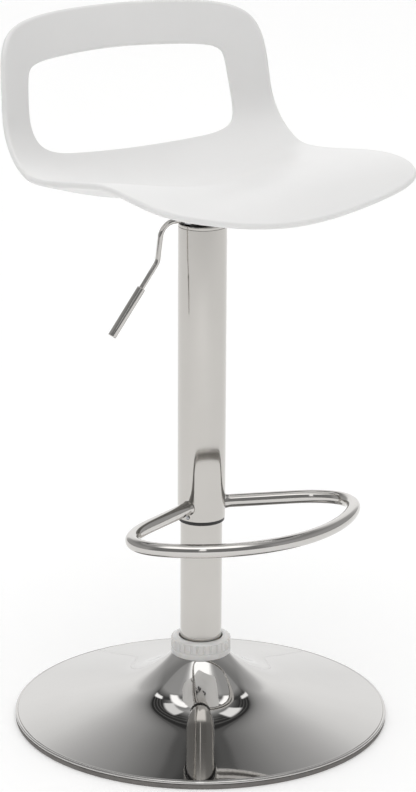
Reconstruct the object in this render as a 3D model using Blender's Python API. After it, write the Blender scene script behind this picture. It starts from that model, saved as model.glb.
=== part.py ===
"""Adjustable swivel stool: trumpet base, gas lift, footrest column and moulded seat shell.

Metres, +Z up. The origin is on the floor under the column axis, and the sitter faces -Y.
"""
import math

import bmesh
import bpy
import numpy as np
from mathutils import Vector
from mathutils.geometry import delaunay_2d_cdt

MM = 0.001
GAP = 0.3 * MM                 # clearance between neighbouring pieces
ROUND = 36                     # sides of the large round pieces
SMALL = 16                     # sides of the small round pieces

# Trumpet base
BASE_R = 225 * MM
BASE_SIDES = 56
BASE_WALL = 2 * MM
NECK_TOP = 81.5 * MM
RIM_ROUND = 3.5 * MM
RIM_BOTTOM = 1.2 * MM
FLARE = [(34.5, 81.5), (37, 78.4), (42, 73.2), (50, 66.4), (62, 58.2), (78, 48.9), (100, 38.8),
         (135, 30.5), (178, 20.3), (221.5, 10.2)]          # outer surface, radius and height in mm
BRACE_REACH = 140 * MM
BRACE_WIDTH = 40 * MM

# Fixed lower column and its thrust bearing
LOWER_R = 25 * MM
TUBE_WALL = 1.5 * MM
LOWER_BOTTOM = 16 * MM
LOWER_TOP = 400 * MM
FOOT_TOP = 24 * MM
RACE_THICK = 2 * MM
RACE_R = 13 * MM
BALL_R = 2.2 * MM
BALL_ORBIT = 9.2 * MM
BALL_COUNT = 8

# Faceted collar on the neck
COLLAR_SIDES = 28
COLLAR_R = 36 * MM
COLLAR_TOP = 103 * MM

# Gas spring
ROD_R = 5 * MM
CYLINDER_R = 14 * MM
CYLINDER_BOTTOM = 243 * MM
CYLINDER_TOP = 611.5 * MM
PISTON_BOTTOM = 345.3 * MM
BUTTON_R = 4 * MM
BUTTON_TOP = 615.7 * MM

# Moving upper column
UPPER_R = 28.5 * MM
UPPER_BOTTOM = 255.3 * MM
UPPER_TOP = 610.8 * MM
CAP_TOP = 615 * MM

# Footrest loop: two straight arms, bent corners and a long front bow
FOOTREST_Z = 271.6 * MM
FOOTREST_RISE = 0.028          # metres up for each metre forward
FOOTREST_R = 8 * MM
FLARE_R = 9 * MM               # tube radius at the weld
ARM_ANGLE = math.radians(66.3)
ARM_LENGTH = 107 * MM
BOW_R = 181.5 * MM
BOW_END = math.radians(45)
CORNER_PULL = (58 * MM, 47 * MM)

# Lever
PIVOT = (-16 * MM, 0.0, 620.7 * MM)
LEVER_R = 3 * MM
LEVER_PATH = [(-21, 620.7), (-55.4, 620.7), (-61.4, 575.5), (-95, 531.6)]   # x and z in mm
LEVER_BENDS = (19 * MM, 14 * MM)
SLEEVE_R = 5 * MM
SLEEVE_START = (-83.1 * MM, 547 * MM)
SLEEVE_END = (-123.1 * MM, 495.2 * MM)

# Seat plate and fasteners
PLATE_BOTTOM = 625.3 * MM
PLATE_THICK = 2.5 * MM
PLATE_HALF = (46 * MM, 39.5 * MM)
PLATE_BACK = 12.5 * MM         # the plate's middle is this far behind the column axis
BOLT_AT = {"fl": (30 * MM, -18 * MM), "fr": (-30 * MM, -18 * MM),
           "bl": (30 * MM, 40 * MM), "br": (-30 * MM, 40 * MM)}
BOLT_R = 3 * MM
BOSS_R = 8 * MM

# Seat shell. The spine is the middle line from the front lip to the top of the back (y, z),
# and the outlines are flat patterns (across, along the spine) for the right half. All in mm.
SEAT_THICK = 7.5 * MM
SPINE = [(-197, 653), (-148, 671), (-91, 674), (-31, 663), (28, 645), (85, 629), (146, 652),
         (188, 701), (196, 763), (212, 822)]
DISH = [40, 36, 38, 45, 58]            # rise at DISH_SPAN off the middle, square law
CURL = [-13, -20, -1, 5, -1]           # further rise there, fourth power law
DISH_SPAN = 180 * MM
DISH_RUN = 550 * MM                    # length of spine that DISH and CURL are spread over
OUTLINE = [(0, 0), (104, 7), (176, 16), (187, 78), (166, 160), (187, 250), (184, 358),
           (181, 466), (174, 529), (92, 546), (0, 550)]
WINDOW = [(0, 373), (85, 370), (149, 361), (141, 468), (138, 493), (76, 500), (0, 505)]
SEAT_GRID = 19 * MM

MATERIALS = {
    "chrome": ((0.78, 0.78, 0.79), 0.06, 1.0),
    "zinc_steel": ((0.55, 0.56, 0.58), 0.35, 1.0),
    "polished_steel": ((0.70, 0.70, 0.71), 0.15, 1.0),
    "black_steel": ((0.02, 0.02, 0.02), 0.45, 0.0),
    "black_nylon": ((0.015, 0.015, 0.015), 0.4, 0.0),
    "rubber": ((0.02, 0.02, 0.02), 0.75, 0.0),
    "clear_acrylic": ((0.92, 0.91, 0.88), 0.05, 0.0),
    "white_plastic": ((0.83, 0.83, 0.82), 0.28, 0.0),
}


def clear_scene():
    for obj in list(bpy.data.objects):
        bpy.data.objects.remove(obj, do_unlink=True)


def material(piece, finish):
    colour, roughness, metallic = MATERIALS[finish]
    mat = bpy.data.materials.new(piece)
    mat.use_nodes = True
    shader = mat.node_tree.nodes["Principled BSDF"]
    shader.inputs["Base Color"].default_value = (*colour, 1.0)
    shader.inputs["Roughness"].default_value = roughness
    shader.inputs["Metallic"].default_value = metallic
    mat.diffuse_color = (*colour, 1.0)
    return mat


def empty(name, place):
    obj = bpy.data.objects.new(name, None)
    obj.location = place
    bpy.context.scene.collection.objects.link(obj)
    return obj


def piece(name, bm, finish, body, smooth=True):
    """Turn a bmesh in world coordinates into an object whose origin is its body's origin."""
    bmesh.ops.recalc_face_normals(bm, faces=bm.faces)
    origin = Vector(body.location)
    for vert in bm.verts:
        vert.co -= origin
    mesh = bpy.data.meshes.new(name)
    bm.to_mesh(mesh)
    bm.free()
    if smooth:
        mesh.shade_smooth()
        mesh.set_sharp_from_angle(angle=math.radians(35))
    mesh.materials.append(material(name, finish))
    obj = bpy.data.objects.new(name, mesh)
    obj.parent = body
    bpy.context.scene.collection.objects.link(obj)
    return obj


def cut(obj, name, bm):
    """Subtract a bmesh given in world coordinates from an object."""
    bmesh.ops.recalc_face_normals(bm, faces=bm.faces)
    mesh = bpy.data.meshes.new(name)
    bm.to_mesh(mesh)
    bm.free()
    cutter = bpy.data.objects.new(name, mesh)
    cutter.hide_render = True
    cutter.display_type = "WIRE"
    bpy.context.scene.collection.objects.link(cutter)
    mod = obj.modifiers.new(name, "BOOLEAN")
    mod.operation = "DIFFERENCE"
    mod.solver = "EXACT"
    mod.object = cutter


# ---------------------------------------------------------------- mesh builders

def lathe(profile, sides):
    """Turn a closed (radius, height) profile about the Z axis. A point on the axis is one vertex."""
    bm = bmesh.new()
    rings = []
    for radius, height in profile:
        if radius < 1e-9:
            rings.append([bm.verts.new((0, 0, height))] * sides)
            continue
        turn = [2 * math.pi * i / sides for i in range(sides)]
        rings.append([bm.verts.new((radius * math.cos(a), radius * math.sin(a), height)) for a in turn])
    for ring, after in zip(rings, rings[1:] + rings[:1]):
        if ring[0] is ring[1] and after[0] is after[1]:
            continue
        for i in range(sides):
            j = (i + 1) % sides
            corners = [ring[i], ring[j], after[j], after[i]]
            bm.faces.new(list(dict.fromkeys(corners)))
    return bm


def ring(inner, outer, bottom, top, sides=ROUND):
    return lathe([(inner, bottom), (outer, bottom), (outer, top), (inner, top)], sides)


def rod(start, end, radius, sides=SMALL):
    """A straight round bar from one point to another."""
    start, end = Vector(start), Vector(end)
    bm = lathe([(0, 0), (radius, 0), (radius, (end - start).length), (0, (end - start).length)], sides)
    turn = (end - start).to_track_quat("Z", "Y").to_matrix().to_4x4()
    turn.translation = start
    bm.transform(turn)
    return bm


def box(low, high):
    bm = bmesh.new()
    bmesh.ops.create_cube(bm, size=1)
    for vert in bm.verts:
        vert.co = Vector([lo + (side + 0.5) * (hi - lo) for lo, hi, side in zip(low, high, vert.co)])
    return bm


def prism(outline, bottom, top):
    """Extrude a plan outline, given as (x, y) points, between two heights."""
    bm = bmesh.new()
    face = bm.faces.new([bm.verts.new((x, y, bottom)) for x, y in outline])
    grown = bmesh.ops.extrude_face_region(bm, geom=[face])["geom"]
    for vert in grown:
        if isinstance(vert, bmesh.types.BMVert):
            vert.co.z = top
    return bm


def sweep(path, radii, sides):
    """A round bar along a path, with one radius for each point and flat ends."""
    bm = bmesh.new()
    side_way = None
    rings = []
    for i, (place, radius) in enumerate(zip(path, radii)):
        ahead = (path[min(i + 1, len(path) - 1)] - path[max(i - 1, 0)]).normalized()
        if side_way is None:
            side_way = ahead.orthogonal().normalized()
        side_way = (side_way - ahead * side_way.dot(ahead)).normalized()
        other_way = ahead.cross(side_way)
        angles = [2 * math.pi * k / sides for k in range(sides)]
        rings.append([bm.verts.new(place + radius * (side_way * math.cos(a) + other_way * math.sin(a)))
                      for a in angles])
    for near, far in zip(rings, rings[1:]):
        for k in range(sides):
            m = (k + 1) % sides
            bm.faces.new([near[k], near[m], far[m], far[k]])
    bm.faces.new(list(reversed(rings[0])))
    bm.faces.new(rings[-1])
    return bm


# ---------------------------------------------------------------- curves

def spline(points, per_span, closed=False):
    """Points on a uniform cubic B-spline. An open one reaches both end points."""
    pts = np.asarray(points, dtype=float)
    if closed:
        ctrl = np.concatenate([pts[-1:], pts, pts[:2]])
    else:
        ctrl = np.concatenate([2 * pts[:1] - pts[1:2], pts, 2 * pts[-1:] - pts[-2:-1]])
    spans = len(ctrl) - 3
    count = spans * per_span
    place = np.linspace(0, spans, count + (0 if closed else 1), endpoint=not closed)
    span = np.minimum(place.astype(int), spans - 1)
    t = (place - span).reshape(-1, *([1] * (pts.ndim - 1)))
    return ((1 - t) ** 3 * ctrl[span] + (3 * t ** 3 - 6 * t ** 2 + 4) * ctrl[span + 1]
            + (-3 * t ** 3 + 3 * t ** 2 + 3 * t + 1) * ctrl[span + 2] + t ** 3 * ctrl[span + 3]) / 6


def filleted(corners, radii, steps=6):
    """A path of straight runs whose inner corners are arcs of the given radii."""
    path = [corners[0]]
    for before, corner, after, radius in zip(corners, corners[1:], corners[2:], radii):
        back, ahead = (before - corner).normalized(), (after - corner).normalized()
        half = back.angle(ahead) / 2
        centre = corner + (back + ahead).normalized() * (radius / math.sin(half))
        start = corner + back * (radius / math.tan(half)) - centre
        end = corner + ahead * (radius / math.tan(half)) - centre
        angle = start.angle(end)
        for k in range(steps + 1):
            rest, done = math.sin(angle * (1 - k / steps)), math.sin(angle * k / steps)
            path.append(centre + (start * rest + end * done) / math.sin(angle))
    return path + [corners[-1]]


def bezier(a, b, c, d, steps):
    path = []
    for k in range(1, steps + 1):
        t = k / steps
        path.append(a * (1 - t) ** 3 + b * 3 * t * (1 - t) ** 2 + c * 3 * t * t * (1 - t) + d * t ** 3)
    return path


# ---------------------------------------------------------------- base body

def base_shell(body):
    """The flared steel shell with an inward flange at the neck and a rounded rim."""
    outer = spline(np.array(FLARE) * MM, 2)
    way = np.gradient(outer, axis=0)
    way /= np.linalg.norm(way, axis=1)[:, None]
    inner = outer + BASE_WALL * np.column_stack([way[:, 1], -way[:, 0]])
    inner = inner[(inner[:, 1] < NECK_TOP - BASE_WALL) & (inner[:, 0] < BASE_R - BASE_WALL - RIM_ROUND)][::2]
    rim_centre = (BASE_R - RIM_ROUND, outer[-1, 1] - RIM_ROUND)
    rim = [(rim_centre[0] + RIM_ROUND * math.sin(a), rim_centre[1] + RIM_ROUND * math.cos(a))
           for a in np.linspace(0, math.pi / 2, 5)[1:]]
    flange_hole = LOWER_R + GAP
    rim_inside = BASE_R - BASE_WALL
    profile = [(flange_hole, NECK_TOP - BASE_WALL), (flange_hole, NECK_TOP)]
    profile += [tuple(p) for p in outer] + rim
    profile += [(BASE_R, RIM_BOTTOM), (rim_inside, RIM_BOTTOM), (rim_inside, outer[-1, 1] - BASE_WALL)]
    profile += [tuple(p) for p in inner[::-1]]
    profile += [(inner[0, 0], NECK_TOP - BASE_WALL)]
    piece("base_shell", lathe(profile, BASE_SIDES), "chrome", body)
    return outer[-1, 1] - BASE_WALL


def base_parts(body):
    under_rim = base_shell(body)
    rim_inside = BASE_R - BASE_WALL
    seal_out = rim_inside - GAP
    floor_out = BASE_R - 0.5 * MM
    seal_in = BASE_R - 9 * MM
    edge = [(seal_in, 0), (floor_out, 0), (floor_out, RIM_BOTTOM - GAP), (seal_out, RIM_BOTTOM - GAP),
            (seal_out, under_rim - GAP), (seal_in, under_rim - GAP)]
    piece("base_edge_ring", lathe(edge, BASE_SIDES), "rubber", body)

    socket_bottom = LOWER_BOTTOM - 2 * MM
    socket_top = NECK_TOP - BASE_WALL - GAP
    piece("base_socket", ring(LOWER_R + GAP, LOWER_R + 3.5 * MM, socket_bottom, socket_top), "black_steel", body)

    half, reach = BRACE_WIDTH / 2, BRACE_REACH
    arm = [(half, half), (half, reach), (-half, reach)]
    cross = [(x * c - y * s, x * s + y * c) for c, s in ((1, 0), (0, 1), (-1, 0), (0, -1)) for x, y in arm]
    brace_top = socket_bottom - GAP
    brace = piece("base_brace", prism(cross, brace_top - 2.7 * MM, brace_top), "black_steel", body, smooth=False)
    cut(brace, "brace_bore", rod((0, 0, 0), (0, 0, 2 * brace_top), 12 * MM, 24))

    inside = LOWER_R - TUBE_WALL
    piece("lower_column", ring(inside, LOWER_R, LOWER_BOTTOM, LOWER_TOP), "chrome", body)
    piece("column_foot", ring(ROD_R + GAP, inside - GAP, LOWER_BOTTOM + GAP, FOOT_TOP), "zinc_steel", body)
    bore = CYLINDER_R + GAP
    bush = [(bore, LOWER_TOP - 40 * MM), (inside - GAP, LOWER_TOP - 40 * MM), (inside - GAP, LOWER_TOP + GAP),
            (LOWER_R - GAP, LOWER_TOP + GAP), (LOWER_R - GAP, LOWER_TOP + 3 * MM), (bore, LOWER_TOP + 3 * MM)]
    piece("guide_bush", lathe(bush, ROUND), "black_nylon", body)

    race_bottom = FOOT_TOP + GAP
    piece("bearing_race_lower", ring(ROD_R + GAP, RACE_R, race_bottom, race_bottom + RACE_THICK, 24),
          "polished_steel", body)
    collar(body)


def collar(body):
    """The faceted clear collar on the neck, with a soft seal between it and the column."""
    bottom = NECK_TOP + GAP
    lip = COLLAR_TOP - 3.8 * MM
    bore = LOWER_R + 3.3 * MM
    profile = [(bore, bottom), (COLLAR_R - 1.2 * MM, bottom), (COLLAR_R - 0.2 * MM, bottom + 1.5 * MM),
               (COLLAR_R - 0.2 * MM, bottom + 7 * MM), (COLLAR_R, bottom + 8.2 * MM),
               (COLLAR_R - 1 * MM, COLLAR_TOP - 3 * MM), (COLLAR_R - 6 * MM, COLLAR_TOP),
               (LOWER_R + 1.3 * MM, COLLAR_TOP), (LOWER_R + 1.3 * MM, lip), (bore, lip)]
    piece("crystal_collar", lathe(profile, COLLAR_SIDES), "clear_acrylic", body, smooth=False)
    piece("collar_seal", ring(LOWER_R + GAP, LOWER_R + 2.7 * MM, bottom, lip - GAP), "rubber", body)


# ---------------------------------------------------------------- swivelling rod body

def rod_parts(body):
    race_bottom = FOOT_TOP + GAP
    ball_z = race_bottom + RACE_THICK + GAP + BALL_R
    upper_race = ball_z + BALL_R + GAP
    shoulder = upper_race + RACE_THICK + GAP
    rod_bottom = LOWER_BOTTOM - 3.2 * MM
    tip = PISTON_BOTTOM + 11 * MM
    steps = [(0, rod_bottom), (ROD_R, rod_bottom), (ROD_R, shoulder), (ROD_R + 2 * MM, shoulder),
             (ROD_R + 2 * MM, shoulder + 3 * MM), (ROD_R, shoulder + 3 * MM), (ROD_R, PISTON_BOTTOM - GAP),
             (BOLT_R, PISTON_BOTTOM - GAP), (BOLT_R, tip), (0, tip)]
    piece("piston_rod", lathe(steps, 20), "polished_steel", body)
    piece("piston", ring(BOLT_R + GAP, CYLINDER_R - 1.8 * MM, PISTON_BOTTOM, tip - MM, 24), "black_nylon", body)
    piece("bearing_race_upper", ring(ROD_R + GAP, RACE_R, upper_race, upper_race + RACE_THICK, 24),
          "polished_steel", body)
    buffer_bottom = shoulder + 3 * MM + GAP
    piece("rod_buffer", ring(ROD_R + GAP, 11 * MM, buffer_bottom, buffer_bottom + 12 * MM, 24), "rubber", body)

    clip = piece("rod_clip", ring(ROD_R + GAP, 9 * MM, LOWER_BOTTOM - 1.2 * MM, LOWER_BOTTOM, 24),
                 "zinc_steel", body)
    cut(clip, "clip_mouth", box((0, -3 * MM, 0), (12 * MM, 3 * MM, FOOT_TOP)))

    cage = piece("bearing_cage", ring(ROD_R + 0.6 * MM, RACE_R - GAP, ball_z - 0.8 * MM, ball_z + 0.8 * MM, 24),
                 "black_nylon", body)
    holes = bmesh.new()
    for i in range(BALL_COUNT):
        angle = 2 * math.pi * (i + 0.5) / BALL_COUNT
        place = Vector((BALL_ORBIT * math.cos(angle), BALL_ORBIT * math.sin(angle), ball_z))
        hole = rod(place - Vector((0, 0, 3 * MM)), place + Vector((0, 0, 3 * MM)), BALL_R + GAP, 8)
        copy = bpy.data.meshes.new("hole")
        hole.to_mesh(copy)
        hole.free()
        holes.from_mesh(copy)
        ball = bmesh.new()
        bmesh.ops.create_uvsphere(ball, u_segments=8, v_segments=6, radius=BALL_R)
        bmesh.ops.translate(ball, verts=ball.verts, vec=place)
        piece(f"bearing_ball_{i + 1}", ball, "polished_steel", body)
    cut(cage, "cage_pockets", holes)


# ---------------------------------------------------------------- seat column body

def gas_cylinder(body):
    inside = CYLINDER_R - 1.5 * MM
    valve_seat = CYLINDER_TOP - 15 * MM
    profile = [(inside, CYLINDER_BOTTOM), (CYLINDER_R, CYLINDER_BOTTOM), (CYLINDER_R, CYLINDER_TOP),
               (BUTTON_R + GAP, CYLINDER_TOP), (BUTTON_R + GAP, valve_seat), (inside, valve_seat)]
    piece("gas_cylinder", lathe(profile, 28), "black_steel", body)
    piece("cylinder_gland", ring(ROD_R + GAP, inside - GAP, CYLINDER_BOTTOM + GAP, CYLINDER_BOTTOM + 14 * MM, 28),
          "black_nylon", body)


def column_parts(body):
    inside = UPPER_R - TUBE_WALL
    tube = piece("upper_column", ring(inside, UPPER_R, UPPER_BOTTOM, UPPER_TOP), "chrome", body)

    bore = CYLINDER_R + GAP
    under = UPPER_TOP + GAP
    cap = [(bore, UPPER_TOP - 26 * MM), (20 * MM, UPPER_TOP - 26 * MM), (20 * MM, UPPER_TOP - 11 * MM),
           (inside - GAP, UPPER_TOP - 11 * MM), (inside - GAP, under), (UPPER_R, under),
           (UPPER_R, CAP_TOP - 1.2 * MM), (UPPER_R - 1.2 * MM, CAP_TOP), (bore, CAP_TOP)]
    piece("column_cap", lathe(cap, ROUND), "chrome", body)

    flange_top = UPPER_BOTTOM - GAP
    flange_bottom = flange_top - 4.1 * MM
    bush = [(LOWER_R + GAP, flange_bottom), (UPPER_R - 0.9 * MM, flange_bottom), (UPPER_R - 0.9 * MM, flange_top),
            (inside - GAP, flange_top), (inside - GAP, UPPER_BOTTOM + 35 * MM),
            (LOWER_R + GAP, UPPER_BOTTOM + 35 * MM)]
    piece("lower_bush", lathe(bush, ROUND), "black_nylon", body)

    out = Vector((-math.sin(ARM_ANGLE), -math.cos(ARM_ANGLE), 0))
    level = Vector((0, 0, UPPER_BOTTOM + 4.9 * MM))
    screw = lathe([(0, 0), (1.5 * MM, 0), (1.5 * MM, 1.7 * MM), (2.4 * MM, 1.7 * MM), (2.4 * MM, 2.5 * MM),
                   (1.6 * MM, 3 * MM), (0, 3 * MM)], 12)
    turn = out.to_track_quat("Z", "Y").to_matrix().to_4x4()
    turn.translation = level + out * (inside + 0.1 * MM)
    screw.transform(turn)
    piece("bush_screw", screw, "zinc_steel", body)
    cut(tube, "screw_hole", rod(level + out * 20 * MM, level + out * 35 * MM, 1.8 * MM, 16))


def footrest(body):
    """One bent tube: right arm, corner, front bow, corner and left arm, welded to the column."""
    def place(across, forward):
        return Vector((across, -forward, FOOTREST_Z + FOOTREST_RISE * forward))

    arm = Vector((math.sin(ARM_ANGLE), math.cos(ARM_ANGLE)))
    arm_end = arm * ARM_LENGTH
    bow_end = Vector((BOW_R * math.sin(BOW_END), 1.5 * MM + BOW_R * math.cos(BOW_END)))
    bow_way = Vector((math.cos(BOW_END), -math.sin(BOW_END)))
    half = [arm * (22 * MM), arm * (29.5 * MM), arm * (31.5 * MM), arm * (34 * MM), arm_end]
    half += bezier(arm_end, arm_end + arm * CORNER_PULL[0], bow_end + bow_way * CORNER_PULL[1], bow_end, 9)
    bow = [Vector((BOW_R * math.sin(a), 1.5 * MM + BOW_R * math.cos(a)))
           for a in np.linspace(BOW_END, -BOW_END, 17)[1:-1]]
    plan = half + bow + [Vector((-p.x, p.y)) for p in reversed(half)]
    ends = [FLARE_R, FLARE_R, 8.5 * MM]
    radii = ends + [FOOTREST_R] * (len(plan) - 2 * len(ends)) + ends[::-1]
    loop = piece("footrest_loop", sweep([place(*p) for p in plan], radii, 14), "chrome", body)
    cut(loop, "column_clearance", rod((0, 0, 200 * MM), (0, 0, 350 * MM), UPPER_R + GAP, ROUND))


def mechanism(body):
    """Lever housing, pivot pin, seat plate and fasteners between the column and the shell."""
    floor_bottom = CAP_TOP + GAP
    floor_top = floor_bottom + 1.5 * MM
    wall_top = PLATE_BOTTOM - GAP
    wall_in, wall_out, lip = 12 * MM, 14 * MM, 15.5 * MM
    half = [(lip, floor_bottom), (lip, floor_top), (wall_out, floor_top), (wall_out, wall_top),
            (wall_in, wall_top), (wall_in, floor_top)]
    section = [(-y, z) for y, z in half] + half[::-1]
    left_end, right_end = -24 * MM, 22 * MM
    bm = bmesh.new()
    face = bm.faces.new([bm.verts.new((left_end, y, z)) for y, z in section])
    for vert in bmesh.ops.extrude_face_region(bm, geom=[face])["geom"]:
        if isinstance(vert, bmesh.types.BMVert):
            vert.co.x = right_end
    housing = piece("lever_housing", bm, "black_steel", body, smooth=False)
    cut(housing, "housing_slot", box((-30 * MM, -9 * MM, CAP_TOP - MM), (9 * MM, 9 * MM, floor_top + MM)))
    side = Vector((0, 24 * MM, 0))
    cut(housing, "pin_holes", rod(Vector(PIVOT) - side, Vector(PIVOT) + side, 2 * MM + GAP, 16))
    reach = Vector((0, 15.5 * MM, 0))
    piece("pivot_pin", rod(Vector(PIVOT) - reach, Vector(PIVOT) + reach, 2 * MM, 16), "zinc_steel", body)

    corner_r = 12 * MM
    outline = []
    for quarter in range(4):
        sx, sy = ((1, 1), (-1, 1), (-1, -1), (1, -1))[quarter]
        centre = (sx * (PLATE_HALF[0] - corner_r), PLATE_BACK + sy * (PLATE_HALF[1] - corner_r))
        for step in range(5):
            angle = math.pi / 2 * (quarter + step / 4)
            outline.append((centre[0] + corner_r * math.cos(angle), centre[1] + corner_r * math.sin(angle)))
    plate_top = PLATE_BOTTOM + PLATE_THICK
    plate = piece("seat_plate", prism(outline, PLATE_BOTTOM, plate_top), "black_steel", body, smooth=False)
    low, high = PLATE_BOTTOM - 5 * MM, plate_top + 5 * MM
    cut(plate, "lever_slot", box((-60 * MM, -8.5 * MM, low), (8 * MM, 8.5 * MM, high)))
    for name, (x, y) in BOLT_AT.items():
        cut(plate, f"bolt_hole_{name}", rod((x, y, low), (x, y, high), BOLT_R + GAP, 16))
        fastener(name, x, y, plate_top, body)


def fastener(name, x, y, plate_top, body):
    """A hex bolt and washer under the plate, and the moulded boss that it screws into."""
    washer_top = PLATE_BOTTOM - GAP
    washer_bottom = washer_top - 1.1 * MM
    head_top = washer_bottom - GAP
    head_bottom = head_top - 3 * MM
    bolt_end = plate_top + 8 * MM
    shift = Vector((x, y, 0))
    bolt = lathe([(0, head_bottom), (5 * MM, head_bottom), (5 * MM, head_top), (BOLT_R, head_top),
                  (BOLT_R, bolt_end), (0, bolt_end)], 12)
    for vert in bolt.verts:
        off_corner = abs(math.degrees(math.atan2(vert.co.y, vert.co.x)) % 60 - 30) < 1
        if off_corner and vert.co.xy.length > 4.9 * MM:
            vert.co.xy = vert.co.xy * math.cos(math.radians(30))
    bmesh.ops.translate(bolt, verts=bolt.verts, vec=shift)
    piece(f"seat_bolt_{name}", bolt, "zinc_steel", body, smooth=False)
    washer = ring(BOLT_R + GAP, 6.4 * MM, washer_bottom, washer_top, 16)
    bmesh.ops.translate(washer, verts=washer.verts, vec=shift)
    piece(f"seat_washer_{name}", washer, "zinc_steel", body)

    bottom = plate_top + GAP
    bore_top = bolt_end + MM
    bm = lathe([(0, bore_top), (BOLT_R + GAP, bore_top), (BOLT_R + GAP, bottom), (BOSS_R, bottom),
                (BOSS_R, bore_top), (0, bore_top + MM)], SMALL)
    for vert in bm.verts:
        radius = vert.co.xy.length
        at_axis_top = radius < 1e-9 and vert.co.z > bore_top + 0.5 * MM
        at_rim_top = radius > BOSS_R - 0.1 * MM and vert.co.z > bore_top - 0.1 * MM
        vert.co += shift
        if at_axis_top or at_rim_top:
            vert.co.z = seat_underside(vert.co.x, vert.co.y) - GAP
    piece(f"seat_boss_{name}", bm, "white_plastic", body)


# ---------------------------------------------------------------- seat shell

class SeatSurface:
    """The middle surface of the shell, addressed by (across, along the spine)."""

    def __init__(self):
        self.line = spline(np.array(SPINE) * MM, 16)
        steps = np.linalg.norm(np.diff(self.line, axis=0), axis=1)
        self.run = np.concatenate([[0], np.cumsum(steps)])
        way = np.gradient(self.line, axis=0)
        way /= np.linalg.norm(way, axis=1)[:, None]
        self.lean = np.column_stack([-way[:, 1], way[:, 0]])
        self.at = np.linspace(0, DISH_RUN, 65)
        self.dish = spline(np.array(DISH) * MM, 16)
        self.curl = spline(np.array(CURL) * MM, 16)

    def point(self, across, along):
        """Surface points for arrays of flat positions. Past either end the spine runs straight on."""
        past = np.maximum(along - self.run[-1], 0)
        end_way = (self.line[-1] - self.line[-2]) / np.linalg.norm(self.line[-1] - self.line[-2])
        lift = np.interp(along, self.at, self.dish) * (across / DISH_SPAN) ** 2
        lift = lift + np.interp(along, self.at, self.curl) * (across / DISH_SPAN) ** 4
        y = np.interp(along, self.run, self.line[:, 0]) + past * end_way[0]
        z = np.interp(along, self.run, self.line[:, 1]) + past * end_way[1]
        y = y + np.interp(along, self.run, self.lean[:, 0]) * lift
        z = z + np.interp(along, self.run, self.lean[:, 1]) * lift
        return np.stack([across, y, z], axis=-1)

    def normal(self, across, along):
        step = 2 * MM
        side = self.point(across + step, along) - self.point(across - step, along)
        ahead = self.point(across, along + step) - self.point(across, along - step)
        out = np.cross(side, ahead)
        return out / np.linalg.norm(out, axis=-1)[..., None]


def seat_underside(x, y):
    """Height of the shell's lower face over a point of the plan."""
    surface = SeatSurface()
    along = np.linspace(0.05, 0.34, 291)
    across = np.full_like(along, x)
    points = surface.point(across, along)
    at = np.interp(y, points[:, 1], along)
    middle = surface.point(np.array([x]), np.array([at]))[0]
    normal = surface.normal(np.array([x]), np.array([at]))[0]
    return middle[2] - SEAT_THICK / 2 / normal[2]


def mirrored_loop(points, per_span):
    """A closed spline from one half of a symmetric pattern whose ends are on the middle line."""
    half = np.array(points, dtype=float) * MM
    other = half[1:-1][::-1] * (-1, 1)
    return spline(np.vstack([half, other]), per_span, closed=True)


def inside_loop(points, loop):
    """Even-odd test of many points against a closed loop."""
    inside = np.zeros(len(points), dtype=bool)
    for (x0, y0), (x1, y1) in zip(loop, np.roll(loop, -1, axis=0)):
        if y0 == y1:
            continue
        crosses = (points[:, 1] < y0) != (points[:, 1] < y1)
        inside ^= crosses & (points[:, 0] < x0 + (points[:, 1] - y0) * (x1 - x0) / (y1 - y0))
    return inside


def flat_pattern(loops, spacing):
    """Triangles that fill the first loop outside the second, with evenly spaced inner points."""
    low, high = loops[0].min(axis=0), loops[0].max(axis=0)
    rows = np.arange(low[1] + spacing / 2, high[1], spacing * 0.87)
    grid = [(x + (i % 2) * spacing / 2, y) for i, y in enumerate(rows)
            for x in np.arange(-15, 15) * spacing]
    grid = np.array(grid)
    edge = np.vstack(loops)
    clear = np.array([np.hypot(*(edge - p).T).min() > spacing * 0.55 for p in grid])
    grid = grid[clear & inside_loop(grid, loops[0]) & ~inside_loop(grid, loops[1])]
    points = np.vstack([*loops, grid])
    edges = []
    start = 0
    for loop in loops:
        edges += [(start + i, start + (i + 1) % len(loop)) for i in range(len(loop))]
        start += len(loop)
    verts, _, faces, *_ = delaunay_2d_cdt([Vector(p) for p in points], edges, [], 1, 1e-7)
    verts = np.array(verts)
    centres = np.array([verts[list(face)].mean(axis=0) for face in faces])
    keep = inside_loop(centres, loops[0]) & ~inside_loop(centres, loops[1])
    return verts, [face for face, kept in zip(faces, keep) if kept]


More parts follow.
